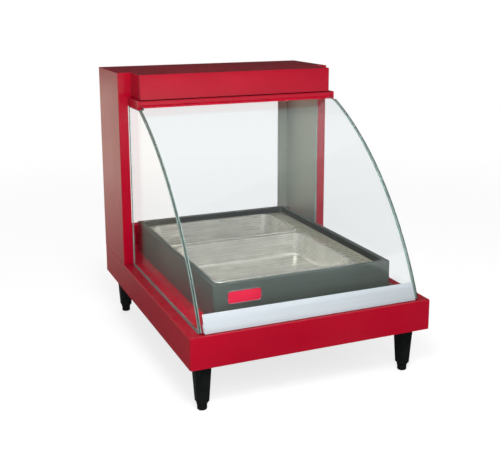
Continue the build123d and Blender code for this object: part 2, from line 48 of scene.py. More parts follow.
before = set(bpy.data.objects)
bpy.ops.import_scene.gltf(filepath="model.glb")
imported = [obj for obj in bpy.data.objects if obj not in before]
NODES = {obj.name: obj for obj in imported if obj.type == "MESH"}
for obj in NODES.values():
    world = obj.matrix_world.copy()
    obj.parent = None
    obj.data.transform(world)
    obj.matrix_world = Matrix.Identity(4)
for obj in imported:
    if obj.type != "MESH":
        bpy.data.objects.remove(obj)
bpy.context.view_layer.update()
MM = 0.001

# The round arc of the glass in the side view
ARC_Y = 323.8 * MM
ARC_Z = -101.6 * MM
ARC_OUTER = 685.0 * MM
GLASS = 6.0 * MM
SIDE_EDGE_RADIUS = 677.5 * MM

# The curved pane narrows behind this line, to pass between the hinge brackets
HINGE_NOTCH_Y = 46.0 * MM
HINGE_HALF_WIDTH = 224.0 * MM

# Where the side panes leave the top of their channels
SIDE_FOOT_Z = 161.5 * MM
BEAD_Z = 161.1 * MM
BEAD_RADIUS = 0.9 * MM
BEAD_STEPS = 60
BEAD_CORNERS = 8

# The outer face of the recessed control panel, along Y
PANEL_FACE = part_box("rear_panel")[0].y + 1.5 * MM
DIAL_TICKS = 11
DIAL_SWEEP = 270.0
DIAL_RADIUS = 15.4 * MM
ROCKER_REST = -10.0
ROCKER_SLOPE = 8.8
PLATE_CORNER = 7.0 * MM

# Insets and heights of the plate: a raised bright rim round a sunk enamel field
PLATE_SECTION = ((0.0, 0.0), (0.0, 0.7 * MM), (0.4 * MM, 1.15 * MM), (1.3 * MM, 1.15 * MM),
                 (1.7 * MM, 0.75 * MM))

# Rings of a screw head, as shares of its radius, close enough to cut the cross cleanly
SCREW_RINGS = (1.0, 0.985, 0.93, 0.84, 0.74, 0.66, 0.58, 0.5, 0.42, 0.34, 0.26, 0.2, 0.14, 0.07)
SCREW_SPOKES = 48

SIDES = {"left": -1, "right": 1}
CORNERS = ("front_left", "front_right", "rear_left", "rear_right")
MATERIALS = {}
GROUPS = {}


# Settings


class CabinetSizes(PropertyGroup):
    """Sizes of the fine shapes."""

    fold: FloatProperty(
        name="Fold radius", description="Outside radius of a folded sheet edge",
        default=0.0007, min=0.0001, max=0.003, unit="LENGTH")
    moulded: FloatProperty(
        name="Moulded edge", description="Radius on the edges of moulded pieces",
        default=0.0009, min=0.0001, max=0.003, unit="LENGTH")
    arris: FloatProperty(
        name="Glass arris", description="Width of the ground flat on each glass edge",
        default=0.0007, min=0.0001, max=0.002, unit="LENGTH")
    glass_steps: IntProperty(
        name="Glass steps", description="Facets along the curved glass", default=72, min=12, max=240)
    pan_sheet: FloatProperty(
        name="Pan sheet", description="Thickness of the pan steel",
        default=0.0008, min=0.0004, max=0.002, unit="LENGTH")
    corner_steps: IntProperty(
        name="Corner steps", description="Facets in each round corner", default=12, min=3, max=32)
    screw_recess: FloatProperty(
        name="Screw recess", description="Depth of the cross in each screw head",
        default=0.0009, min=0.0002, max=0.002, unit="LENGTH")


class CabinetColours(PropertyGroup):
    """Colours of the finishes, scene linear."""

    red: FloatVectorProperty(
        name="Red enamel", description="Baked enamel of the casing", subtype="COLOR",
        default=(0.35, 0.0003, 0.014), min=0.0, max=1.0)
    steel: FloatVectorProperty(
        name="Stainless steel", description="Brushed steel of the tray", subtype="COLOR",
        default=(0.21, 0.25, 0.22), min=0.0, max=1.0)
    deck_steel: FloatVectorProperty(
        name="Deck steel", description="Steel of the slotted deck", subtype="COLOR",
        default=(0.51, 0.485, 0.38), min=0.0, max=1.0)
    pan_steel: FloatVectorProperty(
        name="Pan steel", description="Steel of the lift-out pans", subtype="COLOR",
        default=(0.58, 0.56, 0.50), min=0.0, max=1.0)
    strip_steel: FloatVectorProperty(
        name="Strip steel", description="Steel of the strip at the foot of the front glass",
        subtype="COLOR", default=(0.78, 0.85, 0.90), min=0.0, max=1.0)
    liner_steel: FloatVectorProperty(
        name="Liner steel", description="Steel inside the columns", subtype="COLOR",
        default=(0.36, 0.39, 0.33), min=0.0, max=1.0)
    glass: FloatVectorProperty(
        name="Glass", description="Tint of the panes", subtype="COLOR",
        default=(0.885, 0.912, 0.918), min=0.0, max=1.0)
    glass_edge: FloatVectorProperty(
        name="Glass edge", description="Colour of the ground edges", subtype="COLOR",
        default=(0.055, 0.075, 0.068), min=0.0, max=1.0)
    plastic: FloatVectorProperty(
        name="Black plastic", description="Legs, feet and controls", subtype="COLOR",
        default=(0.004, 0.0055, 0.005), min=0.0, max=1.0)


# Shader node groups


def new_group(name, inputs, outputs):
    """An empty shader node group with named sockets, and its input and output nodes."""
    tree = bpy.data.node_groups.new(name, "ShaderNodeTree")
    for label, kind, value in inputs:
        socket = tree.interface.new_socket(name=label, in_out="INPUT", socket_type=kind)
        socket.default_value = value
    for label, kind in outputs:
        tree.interface.new_socket(name=label, in_out="OUTPUT", socket_type=kind)
    GROUPS[name] = tree
    return tree, tree.nodes.new("NodeGroupInput"), tree.nodes.new("NodeGroupOutput")


def node(tree, kind, **values):
    """A node with some of its properties set."""
    made = tree.nodes.new(kind)
    for key, value in values.items():
        setattr(made, key, value)
    return made


def noise(tree, vector, scale, detail=4.0, roughness=0.55):
    """A noise texture on the given coordinates."""
    made = node(tree, "ShaderNodeTexNoise")
    made.inputs["Detail"].default_value = detail
    made.inputs["Roughness"].default_value = roughness
    if isinstance(scale, (int, float)):
        made.inputs["Scale"].default_value = scale
    else:
        tree.links.new(scale, made.inputs["Scale"])
    tree.links.new(vector, made.inputs["Vector"])
    return made.outputs["Fac"]


def span(tree, value, low, high, to_low=0.0, to_high=1.0):
    """A clamped map from one range of values to another; each limit is a number or a socket."""
    made = node(tree, "ShaderNodeMapRange", clamp=True)
    tree.links.new(value, made.inputs["Value"])
    limits = {"From Min": low, "From Max": high, "To Min": to_low, "To Max": to_high}
    for label, limit in limits.items():
        if isinstance(limit, (int, float)):
            made.inputs[label].default_value = limit
        else:
            tree.links.new(limit, made.inputs[label])
    return made.outputs["Result"]


def maths(tree, operation, first, second):
    """One arithmetic step on numbers or sockets."""
    made = node(tree, "ShaderNodeMath", operation=operation)
    for place, value in enumerate((first, second)):
        if isinstance(value, (int, float)):
            made.inputs[place].default_value = value
        else:
            tree.links.new(value, made.inputs[place])
    return made.outputs["Value"]


def blend_colours(tree, share, first, second, way="MIX"):
    """A mix of two colours; each is a socket or a tuple."""
    made = node(tree, "ShaderNodeMix", data_type="RGBA", blend_type=way)
    for label, value in (("Factor", share), ("A", first), ("B", second)):
        kinds = [s for s in made.inputs if s.name == label and s.enabled]
        socket = kinds[0]
        if isinstance(value, bpy.types.NodeSocket):
            tree.links.new(value, socket)
        elif label == "Factor":
            socket.default_value = value
        else:
            socket.default_value = (*value, 1.0)
    return [s for s in made.outputs if s.enabled][0]


def build_edge_wear():
    """Mask of the worn edges: where the rounded normal leaves the flat one, broken up by noise."""
    tree, start, end = new_group(
        "Edge Wear",
        [("Width", "NodeSocketFloat", 0.0012), ("Break Up", "NodeSocketFloat", 0.5)],
        [("Mask", "NodeSocketFloat")])
    place = node(tree, "ShaderNodeTexCoord").outputs["Object"]
    round_over = node(tree, "ShaderNodeBevel", samples=4)
    tree.links.new(start.outputs["Width"], round_over.inputs["Radius"])
    flat = node(tree, "ShaderNodeNewGeometry").outputs["Normal"]
    agree = node(tree, "ShaderNodeVectorMath", operation="DOT_PRODUCT")
    tree.links.new(round_over.outputs["Normal"], agree.inputs[0])
    tree.links.new(flat, agree.inputs[1])
    edge = span(tree, agree.outputs["Value"], 0.99, 0.80)
    patch = noise(tree, place, 95.0, 5.0, 0.65)
    kept = span(tree, patch, start.outputs["Break Up"], 0.75)
    tree.links.new(maths(tree, "MULTIPLY", edge, kept), end.inputs["Mask"])


def build_orange_peel():
    """Height of a sprayed and baked coat, and the slight change of its gloss."""
    tree, start, end = new_group(
        "Orange Peel",
        [("Scale", "NodeSocketFloat", 420.0), ("Gloss", "NodeSocketFloat", 0.2),
         ("Spread", "NodeSocketFloat", 0.08)],
        [("Height", "NodeSocketFloat"), ("Roughness", "NodeSocketFloat")])
    place = node(tree, "ShaderNodeTexCoord").outputs["Object"]
    fine = noise(tree, place, start.outputs["Scale"], 2.0, 0.4)
    wipe = noise(tree, place, 9.0, 5.0, 0.6)
    low = maths(tree, "SUBTRACT", start.outputs["Gloss"], start.outputs["Spread"])
    high = maths(tree, "ADD", start.outputs["Gloss"], start.outputs["Spread"])
    tree.links.new(fine, end.inputs["Height"])
    tree.links.new(span(tree, wipe, 0.3, 0.7, low, high), end.inputs["Roughness"])


def build_grain():
    """Brushed grain: noise pulled out along one direction, with cleaning marks over it."""
    tree, start, end = new_group(
        "Brushed Grain",
        [("Stretch", "NodeSocketVector", (4.0, 900.0, 900.0)),
         ("Light", "NodeSocketColor", (0.6, 0.6, 0.6, 1.0)),
         ("Dark", "NodeSocketColor", (0.4, 0.4, 0.4, 1.0)),
         ("Smooth", "NodeSocketFloat", 0.22), ("Rough", "NodeSocketFloat", 0.42)],
        [("Color", "NodeSocketColor"), ("Roughness", "NodeSocketFloat"),
         ("Height", "NodeSocketFloat")])
    place = node(tree, "ShaderNodeTexCoord").outputs["Object"]
    pulled = node(tree, "ShaderNodeVectorMath", operation="MULTIPLY")
    tree.links.new(place, pulled.inputs[0])
    tree.links.new(start.outputs["Stretch"], pulled.inputs[1])
    hair = noise(tree, pulled.outputs["Vector"], 1.0, 3.0, 0.6)
    cloud = noise(tree, place, 7.0, 4.0, 0.55)
    both = maths(tree, "ADD", maths(tree, "MULTIPLY", hair, 0.7), maths(tree, "MULTIPLY", cloud, 0.3))
    shade = span(tree, both, 0.34, 0.66)
    colour = blend_colours(tree, shade, start.outputs["Dark"], start.outputs["Light"])
    tree.links.new(colour, end.inputs["Color"])
    gloss = span(tree, both, 0.35, 0.65, start.outputs["Smooth"], start.outputs["Rough"])
    tree.links.new(gloss, end.inputs["Roughness"])
    tree.links.new(hair, end.inputs["Height"])


def build_moulded():
    """Fine moulded texture: cell bumps, a soft change of gloss and of tone."""
    tree, start, end = new_group(
        "Moulded Skin",
        [("Color", "NodeSocketColor", (0.02, 0.02, 0.02, 1.0)), ("Scale", "NodeSocketFloat", 900.0),
         ("Gloss", "NodeSocketFloat", 0.35)],
        [("Color", "NodeSocketColor"), ("Roughness", "NodeSocketFloat"),
         ("Height", "NodeSocketFloat")])
    place = node(tree, "ShaderNodeTexCoord").outputs["Object"]
    cells = node(tree, "ShaderNodeTexVoronoi", feature="SMOOTH_F1")
    tree.links.new(place, cells.inputs["Vector"])
    tree.links.new(start.outputs["Scale"], cells.inputs["Scale"])
    cloud = noise(tree, place, 30.0, 5.0, 0.6)
    pale = blend_colours(tree, 0.03, start.outputs["Color"], (0.30, 0.30, 0.28))
    colour = blend_colours(tree, span(tree, cloud, 0.45, 0.85, 0.0, 0.6),
                           start.outputs["Color"], pale)
    high = maths(tree, "ADD", start.outputs["Gloss"], 0.18)
    tree.links.new(colour, end.inputs["Color"])
    tree.links.new(span(tree, cloud, 0.3, 0.7, start.outputs["Gloss"], high), end.inputs["Roughness"])
    tree.links.new(cells.outputs["Distance"], end.inputs["Height"])


def build_dust():
    """Mask of light dust on faces that look up."""
    tree, start, end = new_group(
        "Ledge Dust", [("Amount", "NodeSocketFloat", 0.12)], [("Mask", "NodeSocketFloat")])
    place = node(tree, "ShaderNodeTexCoord").outputs["Object"]
    parts = node(tree, "ShaderNodeSeparateXYZ")
    tree.links.new(node(tree, "ShaderNodeNewGeometry").outputs["Normal"], parts.inputs["Vector"])
    up = span(tree, parts.outputs["Z"], 0.6, 0.98)
    speck = span(tree, noise(tree, place, 60.0, 8.0, 0.7), 0.42, 0.72)
    mask = maths(tree, "MULTIPLY", maths(tree, "MULTIPLY", up, speck), start.outputs["Amount"])
    tree.links.new(mask, end.inputs["Mask"])


def build_groups():
    """Every shared effect, once."""
    build_edge_wear()
    build_orange_peel()
    build_grain()
    build_moulded()
    build_dust()


# Materials


def new_material(name):
    """A material with only a Principled BSDF and an output; gives its tree and the shader."""
    made = bpy.data.materials.new(name)
    made.use_nodes = True
    tree = made.node_tree
    tree.nodes.clear()
    shader = node(tree, "ShaderNodeBsdfPrincipled")
    out = node(tree, "ShaderNodeOutputMaterial")
    tree.links.new(shader.outputs["BSDF"], out.inputs["Surface"])
    MATERIALS[name] = made
    return tree, shader


def place_group(tree, name, **values):
    """A shared effect in a material, with this material's own values."""
    made = node(tree, "ShaderNodeGroup", node_tree=GROUPS[name])
    for label, value in values.items():
        socket = made.inputs[label.replace("_", " ")]
        socket.default_value = (*value, 1.0) if socket.type == "RGBA" else value
    return made


def bump(tree, shader, height, strength, distance):
    """A bump from a height into the shader's normal."""
    made = node(tree, "ShaderNodeBump")
    made.inputs["Strength"].default_value = strength
    made.inputs["Distance"].default_value = distance
    tree.links.new(height, made.inputs["Height"])
    tree.links.new(made.outputs["Normal"], shader.inputs["Normal"])


def enamel(name, colour, gloss=0.20, wear=0.35, dust=0.06, coat=0.12):
    """Baked enamel: an even coat with orange peel, rubbed edges and a little dust on ledges."""
    tree, shader = new_material(name)
    peel = place_group(tree, "Orange Peel", Gloss=gloss, Spread=0.05)
    edge = place_group(tree, "Edge Wear", Width=0.0011, Break_Up=0.42)
    dusty = place_group(tree, "Ledge Dust", Amount=dust)
    place = node(tree, "ShaderNodeTexCoord").outputs["Object"]
    deep = tuple(0.86 * channel for channel in colour)
    pale = tuple(min(1.0, 1.35 * channel + 0.03) for channel in colour)
    tone = blend_colours(tree, span(tree, noise(tree, place, 5.0), 0.35, 0.65), deep, colour)
    rubbed = maths(tree, "MULTIPLY", edge.outputs["Mask"], wear)
    tone = blend_colours(tree, rubbed, tone, pale)
    tone = blend_colours(tree, dusty.outputs["Mask"], tone, (0.42, 0.36, 0.33))
    tree.links.new(tone, shader.inputs["Base Color"])
    tree.links.new(peel.outputs["Roughness"], shader.inputs["Roughness"])
    shader.inputs["Coat Weight"].default_value = coat
    shader.inputs["Coat Roughness"].default_value = 0.06
    shader.inputs["Specular IOR Level"].default_value = 0.30
    bump(tree, shader, peel.outputs["Height"], 0.10, 0.0004)


def brushed(name, colour, stretch, smooth=0.24, rough=0.42, metallic=1.0, contrast=0.28,
            relief=0.08, rub=0.0008):
    """Brushed metal with its grain along one direction; the rub stays thinner than the sheet."""
    tree, shader = new_material(name)
    light = tuple(min(1.0, channel * (1.0 + contrast)) for channel in colour)
    dark = tuple(channel * (1.0 - contrast) for channel in colour)
    grain = place_group(tree, "Brushed Grain", Stretch=stretch, Light=light, Dark=dark,
                        Smooth=smooth, Rough=rough)
    edge = place_group(tree, "Edge Wear", Width=rub, Break_Up=0.3)
    tone = blend_colours(tree, maths(tree, "MULTIPLY", edge.outputs["Mask"], 0.55),
                         grain.outputs["Color"], (0.72, 0.73, 0.72))
    tree.links.new(tone, shader.inputs["Base Color"])
    tree.links.new(grain.outputs["Roughness"], shader.inputs["Roughness"])
    shader.inputs["Metallic"].default_value = metallic
    bump(tree, shader, grain.outputs["Height"], relief, 0.0002)


def moulded(name, colour, gloss=0.3, scale=900.0, strength=0.12, wear=0.2):
    """Moulded plastic or rubber."""
    tree, shader = new_material(name)
    skin = place_group(tree, "Moulded Skin", Color=colour, Scale=scale, Gloss=gloss)
    edge = place_group(tree, "Edge Wear", Width=0.0012, Break_Up=0.35)
    tone = blend_colours(tree, maths(tree, "MULTIPLY", edge.outputs["Mask"], wear),
                         skin.outputs["Color"], tuple(channel + 0.06 for channel in colour))
    tree.links.new(tone, shader.inputs["Base Color"])
    shader.inputs["Specular IOR Level"].default_value = 0.35
    tree.links.new(skin.outputs["Roughness"], shader.inputs["Roughness"])
    bump(tree, shader, skin.outputs["Height"], strength, 0.0003)


def clear_glass(name, colour, ior=1.45):
    """Clear float glass that lets lamps through, with faint wipe marks in its gloss."""
    tree, shader = new_material(name)
    place = node(tree, "ShaderNodeTexCoord").outputs["Object"]
    marks = span(tree, noise(tree, place, 14.0, 6.0, 0.7), 0.55, 0.8, 0.0, 0.035)
    tree.links.new(marks, shader.inputs["Roughness"])
    shader.inputs["Base Color"].default_value = (*colour, 1.0)
    shader.inputs["Transmission Weight"].default_value = 1.0
    shader.inputs["IOR"].default_value = ior
    shader.inputs["Specular IOR Level"].default_value = 0.16
    shader.inputs["Metallic"].default_value = 0.0
    open_way = node(tree, "ShaderNodeBsdfTransparent")
    open_way.inputs["Color"].default_value = (0.94, 0.96, 0.955, 1.0)
    rays = node(tree, "ShaderNodeLightPath")
    choose = node(tree, "ShaderNodeMixShader")
    tree.links.new(rays.outputs["Is Shadow Ray"], choose.inputs["Fac"])
    tree.links.new(shader.outputs["BSDF"], choose.inputs[1])
    tree.links.new(open_way.outputs["BSDF"], choose.inputs[2])
    out = [n for n in tree.nodes if n.type == "OUTPUT_MATERIAL"][0]
    tree.links.new(choose.outputs["Shader"], out.inputs["Surface"])


def ground_edge(name, colour):
    """Ground and polished glass edge, green-grey and nearly opaque."""
    tree, shader = new_material(name)
    place = node(tree, "ShaderNodeTexCoord").outputs["Object"]
    cloud = noise(tree, place, 60.0, 5.0, 0.6)
    deep = tuple(0.7 * channel for channel in colour)
    tree.links.new(blend_colours(tree, span(tree, cloud, 0.35, 0.65), deep, colour),
                   shader.inputs["Base Color"])
    tree.links.new(span(tree, cloud, 0.3, 0.7, 0.12, 0.3), shader.inputs["Roughness"])
    shader.inputs["Specular IOR Level"].default_value = 0.6
    bump(tree, shader, noise(tree, place, 1600.0, 2.0), 0.06, 0.0002)


def fibre(name, colour):
    """Felted mineral wool."""
    tree, shader = new_material(name)
    place = node(tree, "ShaderNodeTexCoord").outputs["Object"]
    strands = noise(tree, place, 260.0, 8.0, 0.75)
    deep = tuple(0.55 * channel for channel in colour)
    tree.links.new(blend_colours(tree, span(tree, strands, 0.3, 0.7), deep, colour),
                   shader.inputs["Base Color"])
    shader.inputs["Roughness"].default_value = 0.95
    shader.inputs["Sheen Weight"].default_value = 0.3
    bump(tree, shader, strands, 0.7, 0.0015)


def fired_clay(name, colour):
    """Unglazed ceramic with faint pores."""
    tree, shader = new_material(name)
    place = node(tree, "ShaderNodeTexCoord").outputs["Object"]
    pores = noise(tree, place, 520.0, 4.0, 0.6)
    deep = tuple(0.8 * channel for channel in colour)
    tree.links.new(blend_colours(tree, span(tree, pores, 0.3, 0.6), deep, colour),
                   shader.inputs["Base Color"])
    tree.links.new(span(tree, pores, 0.3, 0.7, 0.45, 0.65), shader.inputs["Roughness"])
    bump(tree, shader, pores, 0.3, 0.0004)


def spangled(name, colour):
    """Galvanised sheet with its crystal spangle."""
    tree, shader = new_material(name)
    place = node(tree, "ShaderNodeTexCoord").outputs["Object"]
    crystals = node(tree, "ShaderNodeTexVoronoi")
    crystals.inputs["Scale"].default_value = 130.0
    tree.links.new(place, crystals.inputs["Vector"])
    tone = node(tree, "ShaderNodeSeparateColor")
    tree.links.new(crystals.outputs["Color"], tone.inputs["Color"])
    deep = tuple(0.72 * channel for channel in colour)
    tree.links.new(blend_colours(tree, tone.outputs["Red"], deep, colour), shader.inputs["Base Color"])
    tree.links.new(span(tree, tone.outputs["Green"], 0.0, 1.0, 0.35, 0.55), shader.inputs["Roughness"])
    shader.inputs["Metallic"].default_value = 1.0
    bump(tree, shader, crystals.outputs["Distance"], 0.1, 0.0003)


def amber_dome(name):
    """Amber lens of the pilot lamp, faintly lit from within."""
    tree, shader = new_material(name)
    place = node(tree, "ShaderNodeTexCoord").outputs["Object"]
    rings = node(tree, "ShaderNodeTexWave", wave_type="RINGS", rings_direction="Y")
    rings.inputs["Scale"].default_value = 320.0
    tree.links.new(place, rings.inputs["Vector"])
    tone = blend_colours(tree, rings.outputs["Fac"], (0.75, 0.22, 0.01), (0.95, 0.42, 0.03))
    tree.links.new(tone, shader.inputs["Base Color"])
    tree.links.new(tone, shader.inputs["Emission Color"])
    shader.inputs["Emission Strength"].default_value = 0.5
    shader.inputs["Roughness"].default_value = 0.15
    bump(tree, shader, rings.outputs["Fac"], 0.3, 0.0003)


def build_materials(colours):
    """Every material of the cabinet."""
    along_x, along_y, along_z = (5.0, 1100.0, 1100.0), (1100.0, 5.0, 1100.0), (1100.0, 1100.0, 5.0)
    enamel("red_enamel", tuple(colours.red))
    enamel("black_enamel", (0.02, 0.02, 0.02), gloss=0.34, wear=0.35, dust=0.05, coat=0.0)
    enamel("plate_enamel", (0.52, 0.006, 0.035), gloss=0.12, wear=0.2, dust=0.0, coat=0.4)
    brushed("tray_steel", tuple(0.8 * c for c in colours.steel), along_x, 0.30, 0.46, 0.8, 0.14)
    brushed("deck_steel", tuple(colours.deck_steel), along_y, 0.30, 0.44, 0.6, 0.08)
    # The well under the deck is the liner steel darkened five times over: painted shade, so that the
    # deck's slots read dark
    brushed("well_steel_painted_shade", tuple(0.2 * c for c in colours.liner_steel), along_z, 0.32, 0.48, 1.0, 0.15)
    brushed("pan_steel", tuple(colours.pan_steel), along_x, 0.25, 0.29, 0.65, 0.02, 0.0, rub=0.0003)
    brushed("strip_steel", tuple(colours.strip_steel), along_x, 0.42, 0.52, 0.55, 0.05)
    brushed("liner_steel", tuple(colours.liner_steel), along_z, 0.32, 0.48, 0.55, 0.08)
    brushed("bright_rim", (0.80, 0.80, 0.80), along_x, 0.12, 0.22)
    brushed("bright_aluminium", (0.82, 0.83, 0.84), along_x, 0.10, 0.22)
    brushed("zinc_plate", (0.62, 0.62, 0.63), (400.0, 400.0, 400.0), 0.22, 0.38)
    brushed("bright_wire", (0.75, 0.75, 0.76), (700.0, 700.0, 700.0), 0.12, 0.26)
    brushed("element_sheath", (0.17, 0.15, 0.14), (60.0, 900.0, 900.0), 0.38, 0.6)
    brushed("brass", (0.72, 0.52, 0.24), (700.0, 40.0, 700.0), 0.22, 0.38)
    spangled("galvanised", (0.58, 0.60, 0.62))
    moulded("black_plastic", tuple(colours.plastic), gloss=0.16, strength=0.05)
    moulded("control_plastic", (0.022, 0.022, 0.023), gloss=0.34)
    moulded("black_rubber", (0.018, 0.018, 0.018), gloss=0.55, scale=700.0, strength=0.3)
    moulded("wire_sleeve", (0.05, 0.05, 0.05), gloss=0.5, scale=500.0, strength=0.4)
    moulded("mark_white", (0.78, 0.78, 0.76), gloss=0.4, wear=0.0)
    moulded("sealant", (0.20, 0.20, 0.19), gloss=0.3, scale=400.0, strength=0.2)
    fired_clay("ceramic", (0.84, 0.82, 0.76))
    fired_clay("frosted_lamp", (0.93, 0.92, 0.86))
    fibre("insulation", (0.72, 0.68, 0.52))
    amber_dome("amber_lens")
    clear_glass("clear_glass", tuple(colours.glass))
    clear_glass("side_glass", tuple(0.95 + 0.05 * c for c in colours.glass), ior=1.12)
    ground_edge("glass_edge", tuple(colours.glass_edge))
    ground_edge("side_edge", tuple(3.6 * c for c in colours.glass_edge))


# Mesh tools


def cad_finish(name, material, radius=None, segments=2, angle=32.0):
    """Gives a CAD node its material and rounds its sharp edges with modifiers only."""
    piece = NODES[name]
    piece.data.materials.clear()
    piece.data.materials.append(MATERIALS[material])
    if radius:
        weld = piece.modifiers.new("Weld", "WELD")
        weld.merge_threshold = 0.00002
        soften = piece.modifiers.new("Round edges", "BEVEL")
        soften.width = radius
        soften.segments = segments
        soften.limit_method = "ANGLE"
        soften.angle_limit = math.radians(angle)
        soften.use_clamp_overlap = True
        soften.harden_normals = True


def new_piece(name, shape, materials, smooth=True, sharp=35.0):
    """An object from a bmesh, with its materials in order."""
    bmesh.ops.recalc_face_normals(shape, faces=shape.faces)
    for edge in shape.edges:
        if len(edge.link_faces) == 2:
            edge.smooth = edge.calc_face_angle(0.0) < math.radians(sharp)
    for face in shape.faces:
        face.smooth = smooth
    mesh = bpy.data.meshes.new(name)
    shape.to_mesh(mesh)
    shape.free()
    for material in materials:
        mesh.materials.append(MATERIALS[material])
    piece = bpy.data.objects.new(name, mesh)
    bpy.context.scene.collection.objects.link(piece)
    return piece


def on_body(piece, body, slot, *replaced):
    """Rides on a body and stands for CAD nodes, which it hides. The slot argument is not used."""
    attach(piece, body)
    if replaced:
        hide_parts(*replaced)


def islands(name):
    """The (lowest, highest) corners of each separate solid of a CAD node."""
    shape = bmesh.new()
    shape.from_mesh(NODES[name].data)
    bmesh.ops.remove_doubles(shape, verts=shape.verts, dist=0.00002)
    left = set(shape.verts)
    found = []
    while left:
        stack = [left.pop()]
        part = []
        while stack:
            vertex = stack.pop()
            part.append(vertex.co.copy())
            for edge in vertex.link_edges:
                other = edge.other_vert(vertex)
                if other in left:
                    left.remove(other)
                    stack.append(other)
        low = Vector([min(p[axis] for p in part) for axis in range(3)])
        high = Vector([max(p[axis] for p in part) for axis in range(3)])
        found.append((low, high))
    shape.free()
    return sorted(found, key=lambda pair: tuple(round(c, 5) for c in pair[0]))


def bridge_rings(shape, rings, closed=True):
    """Faces between rings of vertices that have the same count."""
    faces = []
    for near, far in zip(rings, rings[1:]):
        count = len(near)
        for i in range(count if closed else count - 1):
            j = (i + 1) % count
            faces.append(shape.faces.new((near[i], near[j], far[j], far[i])))
    return faces


def round_box_ring(x_low, x_high, y_low, y_high, radius, steps):
    """Points around a rectangle with round corners, counter-clockwise from the right front."""
    points = []
    centres = [(x_high - radius, y_low + radius, -90), (x_high - radius, y_high - radius, 0),
               (x_low + radius, y_high - radius, 90), (x_low + radius, y_low + radius, 180)]
    for x, y, begin in centres:
        for step in range(steps + 1):
            turn = math.radians(begin + 90.0 * step / steps)
            points.append((x + radius * math.cos(turn), y + radius * math.sin(turn)))
    return points


def turned(profile, steps, frame_matrix):
    """A turned shape from (radius, height) pairs; a zero radius closes an end."""
    shape = bmesh.new()
    rings = []
    for radius, height in profile:
        ring = []
        for step in range(steps):
            turn = 2 * math.pi * step / steps
            ring.append(shape.verts.new((radius * math.cos(turn), radius * math.sin(turn), height)))
        rings.append(ring)
    bridge_rings(shape, rings)
    bmesh.ops.remove_doubles(shape, verts=shape.verts, dist=0.000001)
    bmesh.ops.transform(shape, matrix=frame_matrix, verts=shape.verts)
    return shape


def look_name(name):
    """The name of the piece that stands for a CAD node."""
    return name + "_look"


# Operators


class CABINET_OT_materials(Operator):
    """Makes the shared effects and every finish"""

    bl_idname = "cabinet.materials"
    bl_label = "Finishes"

    def execute(self, context):
        build_groups()
        build_materials(context.scene.cabinet_colours)
        return {"FINISHED"}


class CABINET_OT_casing(Operator):
    """Finishes the base, the columns, the canopy and what closes them"""

    bl_idname = "cabinet.casing"
    bl_label = "Casing"

    def execute(self, context):
        fold = context.scene.cabinet_sizes.fold
        for name in ("base_shell", "top_cover", "column_cover_left", "column_cover_right"):
            cad_finish(name, "red_enamel")
        for name in ("rear_sill", "heater_housing", "hinge_brackets"):
            cad_finish(name, "red_enamel", fold)
        for name in ("column_liner_left", "column_liner_right"):
            cad_finish(name, "liner_steel")
        cad_finish("column_gaskets", "black_rubber", 0.3 * fold)
        cad_finish("bottom_panel", "galvanised", 0.5 * fold)
        cad_finish("rear_panel", "black_enamel", fold)
        return {"FINISHED"}


class CABINET_OT_tray(Operator):
    """Finishes the tray, its well, the slotted deck and the deck's ledges"""

    bl_idname = "cabinet.tray"
    bl_label = "Tray and deck"

    def execute(self, context):
        fold = context.scene.cabinet_sizes.fold
        cad_finish("tray_skirt", "tray_steel", fold)
        # The well and the deck's ledges take the darkened steel, which is painted shade under the slotted
        # deck
        cad_finish("well", "well_steel_painted_shade", 0.5 * fold)
        cad_finish("deck", "deck_steel", 0.6 * fold)
        cad_finish("deck_rails", "well_steel_painted_shade", 0.4 * fold)
        return {"FINISHED"}


def pan_profile(rim_top, floor, sheet):
    """Section of a pan as (inset, height, corner radius), from the rolled rim to the floor."""
    lip, roll = 10.5 * MM, 2.4 * MM
    skirt = rim_top - 5.6 * MM
    points = [(1.0 * MM, skirt - 0.2 * MM, 21 * MM), (0.2 * MM, skirt, 22 * MM)]
    for step in range(7):
        turn = math.radians(90.0 * step / 6)
        inset = roll * (1 - math.cos(turn))
        points.append((0.2 * MM + inset, rim_top - roll + roll * math.sin(turn), 22 * MM))
    points.append((0.5 * lip, rim_top - 0.15 * MM, 22 * MM))
    for step in range(7):
        turn = math.radians(90.0 * step / 6)
        inset = lip - roll + roll * math.sin(turn)
        height = rim_top - roll + roll * math.cos(turn)
        points.append((inset, height - 0.1 * MM, 23 * MM))
    cove = 6.0 * MM
    wall_foot = 18.0 * MM
    base = floor + sheet
    for share in (0.33, 0.66):
        height = (rim_top - roll) * (1 - share) + (base + cove) * share
        points.append((lip + (wall_foot - lip) * share, height, 22 * MM))
    for step in range(8):
        turn = math.radians(90.0 * step / 7)
        points.append((wall_foot + cove * (1 - math.cos(turn)),
                       base + cove - cove * math.sin(turn), 20 * MM - 4 * MM * step / 7))
    points.append((40 * MM, base, 12 * MM))
    return points


def pan_shape(low, high, sheet, steps):
    """A pressed pan that fills the given box: rolled rim, sloping sides, round foot."""
    shape = bmesh.new()
    rings = []
    for inset, height, radius in pan_profile(high.z, low.z, sheet):
        outline = round_box_ring(low.x + inset, high.x - inset, low.y + inset, high.y - inset,
                                 radius, steps)
        rings.append([shape.verts.new((x, y, height)) for x, y in outline])
    bridge_rings(shape, rings)
    shape.faces.new(rings[-1])
    return shape


class CABINET_OT_pans(Operator):
    """Presses the two lift-out pans"""

    bl_idname = "cabinet.pans"
    bl_label = "Lift-out pans"

    def execute(self, context):
        sizes = context.scene.cabinet_sizes
        for name in ("front_pan", "rear_pan"):
            low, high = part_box(name)
            shape = pan_shape(low, high, sizes.pan_sheet, sizes.corner_steps)
            piece = new_piece(look_name(name), shape, ["pan_steel"], sharp=50.0)
            thick = piece.modifiers.new("Sheet", "SOLIDIFY")
            thick.thickness = sizes.pan_sheet
            thick.offset = -1.0
            on_body(piece, name, "stainless", name)
        return {"FINISHED"}


